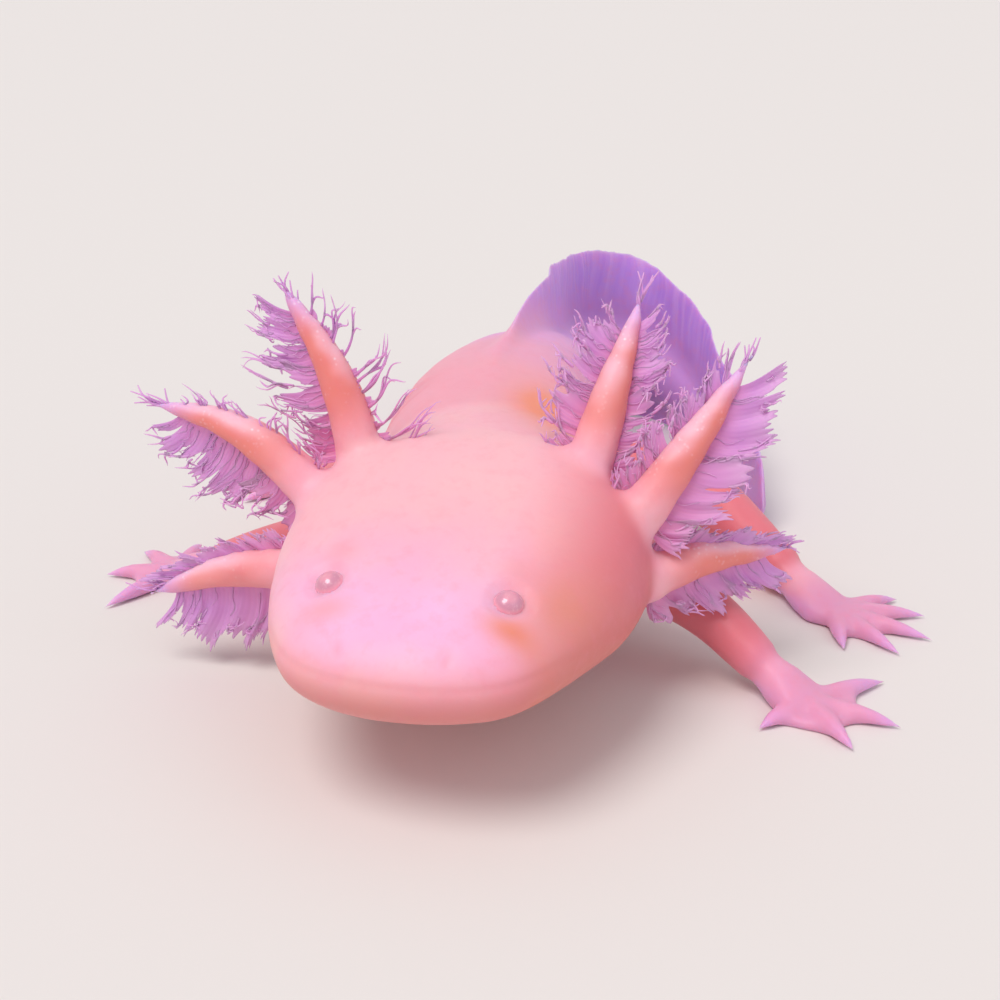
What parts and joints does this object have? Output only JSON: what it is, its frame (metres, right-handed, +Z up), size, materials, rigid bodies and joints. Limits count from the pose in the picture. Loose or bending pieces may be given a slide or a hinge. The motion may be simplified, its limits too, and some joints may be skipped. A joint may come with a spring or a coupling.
{
  "type": "axolotl",
  "caption": "Life-size adult axolotl at rest: broad head raised on spread front legs, feathery gills out, belly on the floor, tail fin hooked round.",
  "frame": {"origin": "on the floor under the middle of the animal's box", "axes": "-Y the way the snout points, +X the animal's left, +Z up from the floor it lies on"},
  "size_m": [0.1024, 0.1268, 0.0444],
  "materials": {
    "pink_skin": "moist smooth pink skin, satin to wet",
    "pale_skin": "thin pale skin of hands and feet, satin",
    "gill_skin": "moist salmon-red skin of the gill stalks",
    "gill_fringe": "fine soft mauve gill filaments",
    "fin_skin": "thin, partly clear lilac fin skin",
    "eyeball": "wet glossy pale pink eye"
  },
  "bodies": {
    "root": {"head": "pink_skin", "lower_jaw": "pink_skin", "neck": "pink_skin", "trunk_front": "pink_skin", "trunk_middle": "pink_skin", "trunk_rear": "pink_skin", "tail_base": "pink_skin", "tail_middle": "pink_skin", "tail_end": "pink_skin", "arm_front_left": "pink_skin", "forearm_front_left": "pink_skin", "hand_front_left": "pale_skin", "arm_front_right": "pink_skin", "forearm_front_right": "pink_skin", "hand_front_right": "pale_skin", "thigh_hind_left": "pink_skin", "shank_hind_left": "pink_skin", "foot_hind_left": "pale_skin", "thigh_hind_right": "pink_skin", "shank_hind_right": "pink_skin", "foot_hind_right": "pale_skin", "fin_back": "fin_skin", "fin_tail_upper_base": "fin_skin", "fin_tail_upper_middle": "fin_skin", "fin_tail_upper_end": "fin_skin", "fin_tail_lower_base": "fin_skin", "fin_tail_lower_middle": "fin_skin", "fin_tail_lower_end": "fin_skin", "gill_right_upper": "gill_skin", "gill_right_middle": "gill_skin", "gill_right_lower": "gill_skin", "gill_left_upper": "gill_skin", "gill_left_middle": "gill_skin", "gill_left_lower": "gill_skin", "fringe_right_upper_above": "gill_fringe", "fringe_right_upper_below": "gill_fringe", "fringe_right_middle_above": "gill_fringe", "fringe_right_middle_below": "gill_fringe", "fringe_right_lower_above": "gill_fringe", "fringe_right_lower_below": "gill_fringe", "fringe_left_upper_above": "gill_fringe", "fringe_left_upper_below": "gill_fringe", "fringe_left_middle_above": "gill_fringe", "fringe_left_middle_below": "gill_fringe", "fringe_left_lower_above": "gill_fringe", "fringe_left_lower_below": "gill_fringe", "eye_left": "eyeball", "eye_right": "eyeball"}
  },
  "joints": []
}
